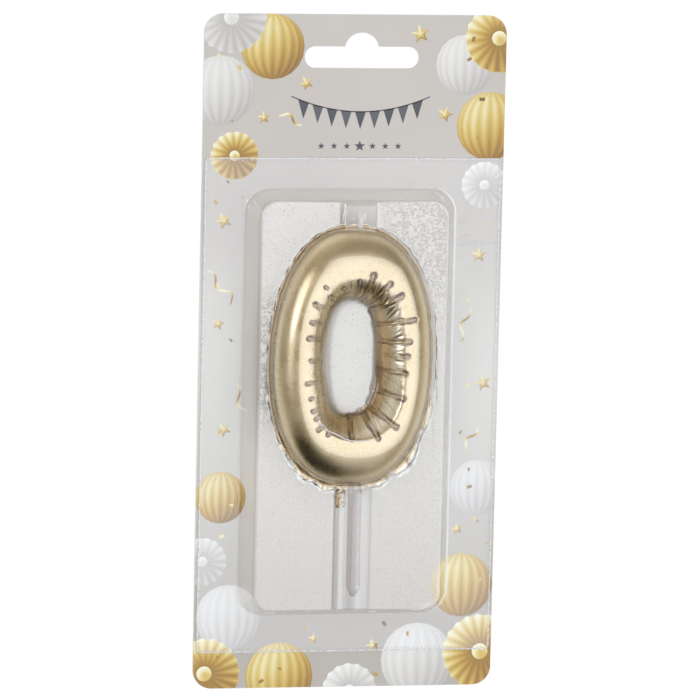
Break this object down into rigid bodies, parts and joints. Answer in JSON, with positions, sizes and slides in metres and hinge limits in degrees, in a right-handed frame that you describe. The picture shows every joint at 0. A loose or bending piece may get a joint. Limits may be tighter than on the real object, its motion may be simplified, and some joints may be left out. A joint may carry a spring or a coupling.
{
  "type": "balloon number candle",
  "caption": "Gold nought-shaped balloon candle with wick and pick, held on a printed hang card under a clear thermoformed blister.",
  "frame": {"origin": "centre of the card's back face, which is the bottom of the pack as it lies on its back", "axes": "+X to the right of the printed face, +Y towards the hang slot, +Z out of the printed face"},
  "size_m": [0.08, 0.178, 0.0173],
  "materials": {
    "printed_card": "coated print",
    "clear_film": "clear, frosted on its flat top",
    "gold_wax": "satin metallic gold lacquer over wax",
    "wick_cotton": "waxed",
    "pick_plastic": "clear moulded"
  },
  "bodies": {
    "card": {"card": "printed_card"},
    "candle": {"candle_body": "gold_wax", "wick": "wick_cotton", "pick": "pick_plastic"},
    "blister": {"blister": "clear_film"}
  },
  "joints": [
    {"name": "candle_lift", "type": "slide", "parent": "card", "child": "candle", "axis": [0, 0, 1], "range_m": [0, 0.03]},
    {"name": "blister_lift", "type": "slide", "parent": "candle", "child": "blister", "axis": [0, 0, 1], "range_m": [0, 0.03]}
  ]
}
